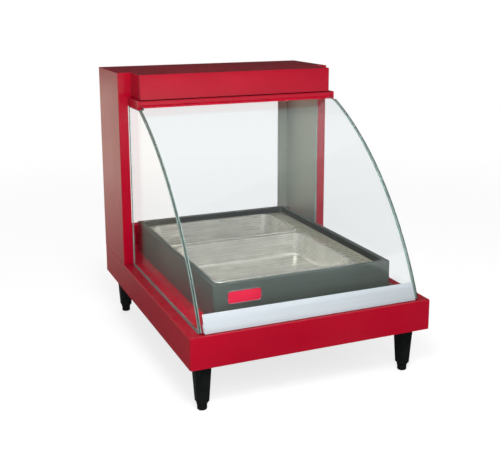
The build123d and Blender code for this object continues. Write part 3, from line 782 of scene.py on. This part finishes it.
class CABINET_OT_plate(Operator):
    """Makes the blank plate on the tray: a bright rim round a sunk enamel field"""

    bl_idname = "cabinet.plate"
    bl_label = "Plate"

    def execute(self, context):
        steps = context.scene.cabinet_sizes.corner_steps
        low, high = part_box("badge")
        shape = bmesh.new()
        rings = []
        for inset, height in PLATE_SECTION:
            outline = round_box_ring(low.x + inset, high.x - inset, low.z + inset, high.z - inset,
                                     PLATE_CORNER - inset, steps)
            rings.append([shape.verts.new((x, high.y - height, z)) for x, z in outline])
        bridge_rings(shape, rings)
        field = shape.faces.new(rings[-1])
        field.material_index = 1
        shape.faces.new(list(reversed(rings[0])))
        piece = new_piece(look_name("badge"), shape, ["bright_rim", "plate_enamel"])
        on_body(piece, "cabinet", "badge_enamel", "badge")
        return {"FINISHED"}


def arc_point(radius, turn):
    """A point on a circle about the centre of the glass arc, as (y, z)."""
    return (ARC_Y - radius * math.cos(turn), ARC_Z + radius * math.sin(turn))


def arc_turn_at_height(radius, height):
    """The turn at which such a circle reaches a height."""
    return math.asin((height - ARC_Z) / radius)


def curved_pane(steps, arris):
    """The curved pane, cut narrower at the hinge, with a ground arris along its edges."""
    low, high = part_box("front_glass")
    inner = ARC_OUTER - GLASS
    start = arc_turn_at_height(ARC_OUTER, low.z)
    finish = math.acos((ARC_Y - high.y) / ARC_OUTER)
    notch = math.acos((ARC_Y - HINGE_NOTCH_Y) / ARC_OUTER)
    turns = [start + (finish - start) * step / steps for step in range(steps + 1)]
    turns = sorted([t for t in turns if abs(t - notch) > 0.004] + [notch, notch])
    shape = bmesh.new()
    rings = []
    narrow = False
    for place, turn in enumerate(turns):
        if turn == notch and place and turns[place - 1] == notch:
            narrow = True
        half = HINGE_HALF_WIDTH if narrow else high.x
        section = [(-half + arris, ARC_OUTER), (half - arris, ARC_OUTER), (half, ARC_OUTER - arris),
                   (half, inner + arris), (half - arris, inner), (-half + arris, inner),
                   (-half, inner + arris), (-half, ARC_OUTER - arris)]
        ring = []
        for x, radius in section:
            y, z = arc_point(radius, turn)
            ring.append(shape.verts.new((x, y, z)))
        rings.append(ring)
    bridge_rings(shape, rings)
    shape.faces.new(list(reversed(rings[0])))
    shape.faces.new(rings[-1])
    for face in shape.faces:
        face.normal_update()
        sideways = abs(face.normal.x)
        middle = face.calc_center_median()
        radial = Vector((0, middle.y - ARC_Y, middle.z - ARC_Z)).normalized()
        flat = abs(face.normal.dot(radial))
        face.material_index = 0 if flat > 0.9 and sideways < 0.1 else 1
    return shape


def side_pane(name, steps, arris):
    """A flat side pane whose front edge follows the curved glass."""
    low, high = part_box(name)
    outline = [(low.y, low.z), (high.y, low.z), (high.y, high.z)]
    top = arc_turn_at_height(SIDE_EDGE_RADIUS, high.z)
    foot = arc_turn_at_height(SIDE_EDGE_RADIUS, SIDE_FOOT_Z)
    for step in range(steps + 1):
        outline.append(arc_point(SIDE_EDGE_RADIUS, top + (foot - top) * step / steps))
    outline.append((low.y, SIDE_FOOT_Z))
    shape = bmesh.new()
    near = shape.faces.new([shape.verts.new((low.x, y, z)) for y, z in outline])
    grown = bmesh.ops.extrude_face_region(shape, geom=[near])
    far = [item for item in grown["geom"] if isinstance(item, bmesh.types.BMVert)]
    bmesh.ops.translate(shape, verts=far, vec=(high.x - low.x, 0, 0))
    bmesh.ops.recalc_face_normals(shape, faces=shape.faces)
    rim = [e for e in shape.edges if abs(e.verts[0].co.x - e.verts[1].co.x) < 1e-6]
    bmesh.ops.bevel(shape, geom=rim, offset=arris, segments=1, affect="EDGES", profile=0.5)
    for face in shape.faces:
        face.normal_update()
        face.material_index = 0 if abs(face.normal.x) > 0.99 else 1
    return shape


class CABINET_OT_glass(Operator):
    """Makes the curved front pane and the two side panes"""

    bl_idname = "cabinet.glass"
    bl_label = "Glass"

    def execute(self, context):
        sizes = context.scene.cabinet_sizes
        shape = curved_pane(sizes.glass_steps, sizes.arris)
        pane = new_piece(look_name("front_glass"), shape, ["clear_glass", "glass_edge"], sharp=20.0)
        on_body(pane, "glass_door", "clear_glass", "front_glass")
        for side in SIDES:
            name = "side_glass_" + side
            shape = side_pane(name, sizes.glass_steps, sizes.arris)
            pane = new_piece(look_name(name), shape, ["side_glass", "side_edge"], sharp=20.0)
            on_body(pane, "cabinet", "clear_glass", name)
        return {"FINISHED"}


class CABINET_OT_glass_trim(Operator):
    """Finishes the strip, the hinge rail, the channels and the bumpers of the glass"""

    bl_idname = "cabinet.glass_trim"
    bl_label = "Glass trim"

    def execute(self, context):
        fold = context.scene.cabinet_sizes.fold
        cad_finish("front_strip", "strip_steel", 0.6 * fold)
        cad_finish("glass_rail", "red_enamel", 0.6 * fold)
        cad_finish("rail_ends", "red_enamel", 0.6 * fold)
        cad_finish("side_channels", "liner_steel", 0.3 * fold)
        cad_finish("glass_bumpers", "black_rubber", 0.5 * fold)
        self.lay_beads()
        return {"FINISHED"}

    def lay_beads(self):
        """A bead of sealant on both faces of each side pane, along its channel."""
        low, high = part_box("side_glass_left")
        for side, sign in SIDES.items():
            shape = bmesh.new()
            inner, outer = abs(high.x), abs(low.x)
            for x in (inner - 0.15 * MM, outer + 0.15 * MM):
                rings = []
                for step in range(BEAD_STEPS):
                    y = low.y + 2 * MM + (high.y - low.y - 4 * MM) * step / (BEAD_STEPS - 1)
                    swell = BEAD_RADIUS * (1 + 0.10 * math.sin(0.9 * step) * math.sin(0.37 * step))
                    ring = []
                    for corner in range(BEAD_CORNERS):
                        turn = math.radians(360 / BEAD_CORNERS * corner)
                        ring.append(shape.verts.new((sign * (x + swell * math.cos(turn)), y,
                                                     BEAD_Z + swell * math.sin(turn))))
                    rings.append(ring)
                bridge_rings(shape, rings)
                shape.faces.new(rings[0])
                shape.faces.new(rings[-1])
            piece = new_piece("glazing_bead_" + side, shape, ["sealant"], sharp=60.0)
            on_body(piece, "cabinet", "black_rubber")


class CABINET_OT_heater(Operator):
    """Finishes the overhead heater, its guard and the display lamp"""

    bl_idname = "cabinet.heater"
    bl_label = "Overhead heater"

    def execute(self, context):
        fold = context.scene.cabinet_sizes.fold
        cad_finish("reflector", "bright_aluminium", 0.5 * fold)
        cad_finish("element_guard", "bright_wire")
        cad_finish("overhead_element", "element_sheath")
        cad_finish("element_ends", "ceramic", fold)
        cad_finish("lamp_sockets", "ceramic", fold)
        cad_finish("display_lamp", "frosted_lamp", fold)
        cad_finish("heater_terminal", "ceramic", fold)
        cad_finish("top_insulation", "insulation", 2.0 * fold)
        return {"FINISHED"}


class CABINET_OT_inner(Operator):
    """Finishes what is shut inside the base"""

    bl_idname = "cabinet.inner"
    bl_label = "Inside the base"

    def execute(self, context):
        fold = context.scene.cabinet_sizes.fold
        cad_finish("well_insulation", "insulation", 2.0 * fold)
        cad_finish("base_element", "element_sheath")
        cad_finish("element_supports", "ceramic", fold)
        cad_finish("terminal_block", "ceramic", fold)
        cad_finish("wire_loom", "wire_sleeve")
        cad_finish("leg_nuts", "zinc_plate", fold)
        return {"FINISHED"}


def slab_shape(low, high):
    """A thin slab between two corners, with every edge rounded off."""
    shape = bmesh.new()
    bmesh.ops.create_cube(shape, size=1.0)
    size = high - low
    middle = (high + low) / 2
    bmesh.ops.scale(shape, vec=size, verts=shape.verts)
    bmesh.ops.translate(shape, vec=middle, verts=shape.verts)
    reach = 0.3 * min(size)
    bmesh.ops.bevel(shape, geom=list(shape.edges), offset=reach, segments=2, affect="EDGES")
    return shape


def add_shape(into, shape):
    """Adds a bmesh to another and frees it."""
    mesh = bpy.data.meshes.new("part")
    shape.to_mesh(mesh)
    shape.free()
    into.from_mesh(mesh)
    bpy.data.meshes.remove(mesh)


class CABINET_OT_controls(Operator):
    """Finishes the switches, the pilot lamp, the thermostat and the cord gland, and marks them"""

    bl_idname = "cabinet.controls"
    bl_label = "Controls"

    def execute(self, context):
        soft = context.scene.cabinet_sizes.moulded
        for name in ("power_switch", "light_switch", "thermostat", "cord_gland", "gland_nut"):
            cad_finish(name, "control_plastic", 0.6 * soft)
        for name in ("power_rocker", "light_rocker"):
            cad_finish(name, "control_plastic", 0.5 * soft)
        cad_finish("thermostat_knob", "control_plastic", 0.4 * soft)
        cad_finish("thermostat_spindle", "brass", 0.3 * soft)
        cad_finish("indicator_light", "amber_lens", 0.3 * soft)
        self.mark_dial()
        self.mark_knob()
        for name in ("power_rocker", "light_rocker"):
            self.mark_rocker(name)
        return {"FINISHED"}

    def mark_dial(self):
        """Raised ticks on the panel round the knob."""
        low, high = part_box("thermostat_knob")
        centre = (low + high) / 2
        shape = bmesh.new()
        for tick in range(DIAL_TICKS):
            turn = math.radians(DIAL_SWEEP * (tick / (DIAL_TICKS - 1) - 0.5))
            long = 2.6 * MM if tick % 5 == 0 else 1.6 * MM
            mark = slab_shape(Vector((-0.3 * MM, -0.05 * MM, 0)), Vector((0.3 * MM, 0.22 * MM, long)))
            spin = Matrix.Rotation(turn, 4, "Y")
            place = Matrix.Translation((centre.x, PANEL_FACE, centre.z))
            out = Matrix.Translation((0, 0, DIAL_RADIUS))
            bmesh.ops.transform(mark, matrix=place @ spin @ out, verts=mark.verts)
            add_shape(shape, mark)
        piece = new_piece("dial_ticks", shape, ["mark_white"])
        on_body(piece, "cabinet", "black_plastic")

    def mark_knob(self):
        """The pointer line across the top of the knob."""
        low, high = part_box("thermostat_knob")
        centre = (low + high) / 2
        mark = slab_shape(Vector((centre.x - 0.6 * MM, high.y - 0.3 * MM, centre.z + 2 * MM)),
                          Vector((centre.x + 0.6 * MM, high.y - 0.02 * MM, centre.z + 9.2 * MM)))
        piece = new_piece("knob_pointer", mark, ["mark_white"])
        on_body(piece, "thermostat_knob", "black_plastic")

    def mark_rocker(self, name):
        """A bar on one half of the rocker and a ring on the other, laid on its sloping faces."""
        low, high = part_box(name)
        x = (low.x + high.x) / 2
        pivot = Vector((x, PANEL_FACE - 2.5 * MM, (low.z + high.z) / 2))
        for half, label in ((1, "bar"), (-1, "ring")):
            slope = Matrix.Rotation(math.radians(ROCKER_REST - half * ROCKER_SLOPE), 4, "X")
            place = Matrix.Translation(pivot) @ slope
            shape = bmesh.new()
            if label == "bar":
                mark = slab_shape(Vector((-0.5 * MM, -0.1 * MM, -2.0 * MM)),
                                  Vector((0.5 * MM, 0.15 * MM, 2.0 * MM)))
            else:
                mark = turned([(1.5 * MM, -0.1 * MM), (1.5 * MM, 0.15 * MM), (2.1 * MM, 0.15 * MM),
                               (2.1 * MM, -0.1 * MM), (1.5 * MM, -0.1 * MM)], 32,
                              Matrix.Rotation(math.radians(-90), 4, "X"))
            add_shape(shape, mark)
            rise = Matrix.Translation((0, 5.35 * MM, half * 4.9 * MM))
            bmesh.ops.transform(shape, matrix=place @ rise, verts=shape.verts)
            piece = new_piece(name + "_" + label, shape, ["mark_white"])
            on_body(piece, name, "black_plastic")


def screw_head(radius, height, recess, matrix):
    """A low domed head with a cross recess, built in polar rings so that the cross is cut cleanly."""
    shape = bmesh.new()
    half_arm = 0.16 * radius
    reach = 0.58 * radius
    rings = []
    for share in SCREW_RINGS:
        ring = []
        for step in range(SCREW_SPOKES):
            turn = 2 * math.pi * step / SCREW_SPOKES
            x, y = radius * share * math.cos(turn), radius * share * math.sin(turn)
            top = height * (1 - 0.45 * share**4)
            inside = min(abs(x), abs(y)) < half_arm and max(abs(x), abs(y)) < reach
            if inside:
                top -= recess * (1 - 0.5 * max(abs(x), abs(y)) / reach)
            ring.append(shape.verts.new((x, y, 0.0 if share == 1.0 else top)))
        rings.append(ring)
    bridge_rings(shape, rings)
    shape.faces.new(rings[-1])
    bmesh.ops.transform(shape, matrix=matrix, verts=shape.verts)
    return shape


class CABINET_OT_fasteners(Operator):
    """Makes the screws of the casing, each with a cross recess"""

    bl_idname = "cabinet.fasteners"
    bl_label = "Screws"

    def execute(self, context):
        recess = context.scene.cabinet_sizes.screw_recess
        shape = bmesh.new()
        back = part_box("base_shell")[1].y
        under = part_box("bottom_panel")[0].z
        for low, high in islands("casing_screws"):
            middle = (low + high) / 2
            radius = 0.5 * (high.x - low.x)
            if high.z <= under + 0.1 * MM:
                place = Matrix.Translation((middle.x, middle.y, high.z))
                facing = Matrix.Rotation(math.pi, 4, "X")
                height = high.z - low.z
            else:
                height = (high.y - low.y) if high.y < back - 1 * MM else 1.45 * MM
                place = Matrix.Translation((middle.x, high.y - height, middle.z))
                facing = Matrix.Rotation(-math.pi / 2, 4, "X")
            spin = Matrix.Rotation(middle.z * 40 + middle.x * 9, 4, "Z")
            add_shape(shape, screw_head(radius, height, min(recess, 0.6 * height), place @ facing @ spin))
        piece = new_piece(look_name("casing_screws"), shape, ["zinc_plate"])
        on_body(piece, "cabinet", "bright_wire", "casing_screws")
        return {"FINISHED"}


class CABINET_OT_legs(Operator):
    """Finishes the legs and the levelling feet"""

    bl_idname = "cabinet.legs"
    bl_label = "Legs"

    def execute(self, context):
        soft = context.scene.cabinet_sizes.moulded
        for corner in CORNERS:
            cad_finish("leg_" + corner, "black_plastic", soft, segments=3)
            cad_finish("foot_" + corner, "black_plastic", 0.5 * soft)
        return {"FINISHED"}


# Stage


CAMERA_PLACE = (-0.6972, -1.6448, 0.7517)
CAMERA_HEADING = 22.866
CAMERA_DIP = 12.248
CAMERA_ROLL = -0.167
CAMERA_LENS = 60.47
CAMERA_SHIFT = -0.089
SENSOR = 36.0


def stage_floor():
    """A pale floor that runs up into a wall behind the cabinet."""
    shape = bmesh.new()
    profile = [(-6.0, 0.0), (4.0, 0.0)]
    bend = 2.5
    for step in range(1, 17):
        turn = math.radians(90.0 * step / 16)
        profile.append((4.0 + bend * math.sin(turn), bend - bend * math.cos(turn)))
    profile.append((4.0 + bend, 8.0))
    rings = []
    for y, z in profile:
        rings.append([shape.verts.new((x, y, z)) for x in (-9.0, 9.0)])
    bridge_rings(shape, rings, closed=False)
    return new_piece("studio_floor", shape, ["studio_floor"])


def floor_material():
    """White to the eye; to a gloss it is dark close by, grey on the left, warm behind, pale in front."""
    made = bpy.data.materials.new("studio_floor")
    made.use_nodes = True
    tree = made.node_tree
    tree.nodes.clear()
    place = node(tree, "ShaderNodeTexCoord").outputs["Object"]
    parts = node(tree, "ShaderNodeSeparateXYZ")
    tree.links.new(place, parts.inputs["Vector"])
    away = node(tree, "ShaderNodeVectorMath", operation="LENGTH")
    tree.links.new(place, away.inputs[0])
    matte = node(tree, "ShaderNodeBsdfPrincipled")
    matte.inputs["Roughness"].default_value = 0.9
    matte.inputs["Specular IOR Level"].default_value = 0.0
    matte.inputs["Emission Strength"].default_value = 1.0
    lift = span(tree, away.outputs["Value"], 0.7, 2.4)
    tree.links.new(blend_colours(tree, lift, (0.36, 0.36, 0.36), (0.0, 0.0, 0.0)),
                   matte.inputs["Base Color"])
    tree.links.new(blend_colours(tree, lift, (0.74, 0.74, 0.74), (1.0, 1.0, 1.0)),
                   matte.inputs["Emission Color"])
    mirror = node(tree, "ShaderNodeEmission")
    behind = span(tree, parts.outputs["Y"], 0.35, 2.0)
    low = span(tree, parts.outputs["Z"], 0.5, 0.05)
    near_wall = span(tree, parts.outputs["Y"], 5.3, 4.6)
    share = maths(tree, "MULTIPLY", maths(tree, "MULTIPLY", behind, low), near_wall)
    left = span(tree, parts.outputs["X"], -0.1, -0.9)
    grey = blend_colours(tree, left, (0.03, 0.03, 0.03), (0.24, 0.24, 0.23))
    warm = blend_colours(tree, share, grey, (0.85, 0.79, 0.66))
    far_front = span(tree, parts.outputs["Y"], -1.9, -4.5)
    leftward = span(tree, parts.outputs["X"], 3.4, 1.2)
    pale = blend_colours(tree, leftward, (0.4, 0.38, 0.38), (2.3, 2.1, 2.1))
    tone = blend_colours(tree, far_front, warm, pale)
    tree.links.new(tone, mirror.inputs["Color"])
    rays = node(tree, "ShaderNodeLightPath")
    choose = node(tree, "ShaderNodeMixShader")
    tree.links.new(maths(tree, "MINIMUM", rays.outputs["Glossy Depth"], 1.0), choose.inputs["Fac"])
    tree.links.new(matte.outputs["BSDF"], choose.inputs[1])
    tree.links.new(mirror.outputs["Emission"], choose.inputs[2])
    out = node(tree, "ShaderNodeOutputMaterial")
    tree.links.new(choose.outputs["Shader"], out.inputs["Surface"])
    MATERIALS["studio_floor"] = made


def studio_world():
    """White to the eye, a soft white dome for shading and a banded grey room for reflections."""
    world = bpy.data.worlds.new("studio")
    bpy.context.scene.world = world
    world.use_nodes = True
    tree = world.node_tree
    tree.nodes.clear()
    rays = node(tree, "ShaderNodeLightPath")
    way = node(tree, "ShaderNodeSeparateXYZ")
    tree.links.new(node(tree, "ShaderNodeTexCoord").outputs["Generated"], way.inputs["Vector"])
    height = span(tree, way.outputs["Z"], 0.0, 1.0)
    room = node(tree, "ShaderNodeValToRGB")
    room.color_ramp.elements[0].color = (0.06, 0.055, 0.05, 1.0)
    room.color_ramp.elements[1].color = (0.75, 0.80, 0.84, 1.0)
    middle = room.color_ramp.elements.new(0.40)
    middle.color = (0.12, 0.125, 0.12, 1.0)
    tree.links.new(height, room.inputs["Fac"])
    seen = node(tree, "ShaderNodeBackground")
    seen.inputs["Color"].default_value = (1.0, 1.0, 1.0, 1.0)
    dome = node(tree, "ShaderNodeBackground")
    dome.inputs["Color"].default_value = (0.96, 0.98, 1.0, 1.0)
    dome.inputs["Strength"].default_value = 0.20
    mirror = node(tree, "ShaderNodeBackground")
    tree.links.new(room.outputs["Color"], mirror.inputs["Color"])
    first = node(tree, "ShaderNodeMixShader")
    clear = maths(tree, "MAXIMUM", rays.outputs["Is Camera Ray"], rays.outputs["Is Transmission Ray"])
    tree.links.new(clear, first.inputs["Fac"])
    tree.links.new(dome.outputs["Background"], first.inputs[1])
    tree.links.new(seen.outputs["Background"], first.inputs[2])
    both = node(tree, "ShaderNodeMixShader")
    tree.links.new(maths(tree, "MINIMUM", rays.outputs["Glossy Depth"], 1.0), both.inputs["Fac"])
    tree.links.new(first.outputs["Shader"], both.inputs[1])
    tree.links.new(mirror.outputs["Background"], both.inputs[2])
    out = node(tree, "ShaderNodeOutputWorld")
    tree.links.new(both.outputs["Shader"], out.inputs["Surface"])


def lamp(name, place, target, width, height, power):
    """A soft rectangular lamp that faces a point."""
    data = bpy.data.lights.new(name, "AREA")
    data.shape = "RECTANGLE"
    data.size = width
    data.size_y = height
    data.energy = power
    made = bpy.data.objects.new(name, data)
    made.visible_glossy = False
    bpy.context.scene.collection.objects.link(made)
    aim = Vector(target) - Vector(place)
    made.matrix_world = Matrix.Translation(place) @ aim.to_track_quat("-Z", "Y").to_matrix().to_4x4()


def studio_camera():
    """The camera in front of the left corner, looking slightly down."""
    data = bpy.data.cameras.new("studio_camera")
    data.sensor_width = SENSOR
    data.lens = CAMERA_LENS
    data.shift_y = CAMERA_SHIFT
    data.clip_end = 50.0
    made = bpy.data.objects.new("studio_camera", data)
    bpy.context.scene.collection.objects.link(made)
    heading, dip = math.radians(CAMERA_HEADING), math.radians(CAMERA_DIP)
    ahead = Vector((math.sin(heading) * math.cos(dip), math.cos(heading) * math.cos(dip),
                    -math.sin(dip)))
    right = Vector((math.cos(heading), -math.sin(heading), 0.0))
    up = right.cross(ahead)
    roll = math.radians(CAMERA_ROLL)
    right, up = (right * math.cos(roll) + up * math.sin(roll),
                 up * math.cos(roll) - right * math.sin(roll))
    turned_axes = Matrix((right, up, -ahead)).transposed().to_4x4()
    made.matrix_world = Matrix.Translation(CAMERA_PLACE) @ turned_axes
    bpy.context.scene.camera = made


class CABINET_OT_stage(Operator):
    """Sets the floor, the studio light and the camera"""

    bl_idname = "cabinet.stage"
    bl_label = "Stage"

    def execute(self, context):
        floor_material()
        stage_floor()
        studio_world()
        aim = (0.0, 0.0, 0.30)
        lamp("key", (-0.7, -2.1, 1.5), aim, 1.4, 1.0, 23.0)
        lamp("fill", (2.0, -1.6, 1.0), aim, 1.4, 1.4, 10.0)
        lamp("top", (0.2, 0.3, 2.6), aim, 2.2, 2.2, 8.0)
        lamp("side", (-2.4, 0.5, 1.0), aim, 1.4, 1.4, 4.0)
        lamp("corner", (-0.3, -0.8, 0.85), (-0.16, 0.05, 0.56), 0.35, 0.3, 7.0)
        studio_camera()
        scene = context.scene
        scene.view_settings.view_transform = "Standard"
        scene.view_settings.look = "None"
        return {"FINISHED"}


# Panel and registration


OPERATORS = (
    CABINET_OT_materials,
    CABINET_OT_casing,
    CABINET_OT_tray,
    CABINET_OT_pans,
    CABINET_OT_plate,
    CABINET_OT_glass,
    CABINET_OT_glass_trim,
    CABINET_OT_heater,
    CABINET_OT_inner,
    CABINET_OT_controls,
    CABINET_OT_fasteners,
    CABINET_OT_legs,
    CABINET_OT_stage,
)


class CABINET_PT_panel(Panel):
    """Lists the operators and their settings"""

    bl_idname = "CABINET_PT_panel"
    bl_label = "Heated Display Cabinet"
    bl_space_type = "VIEW_3D"
    bl_region_type = "UI"
    bl_category = "Cabinet"

    def draw(self, context):
        layout = self.layout
        for settings in (context.scene.cabinet_sizes, context.scene.cabinet_colours):
            box = layout.box()
            for name in settings.__annotations__:
                box.prop(settings, name)
        for operator in OPERATORS:
            layout.operator(operator.bl_idname)


CLASSES = (CabinetSizes, CabinetColours, *OPERATORS, CABINET_PT_panel)


def register():
    """Adds the classes and the settings to Blender."""
    for item in CLASSES:
        bpy.utils.register_class(item)
    bpy.types.Scene.cabinet_sizes = PointerProperty(type=CabinetSizes)
    bpy.types.Scene.cabinet_colours = PointerProperty(type=CabinetColours)


def unregister():
    """Takes the settings and the classes away again."""
    del bpy.types.Scene.cabinet_colours
    del bpy.types.Scene.cabinet_sizes
    for item in reversed(CLASSES):
        bpy.utils.unregister_class(item)


def main():
    """Builds every piece in order."""
    register()
    for operator in OPERATORS:
        group, name = operator.bl_idname.split(".")
        getattr(getattr(bpy.ops, group), name)()


if __name__ == "__main__":
    main()
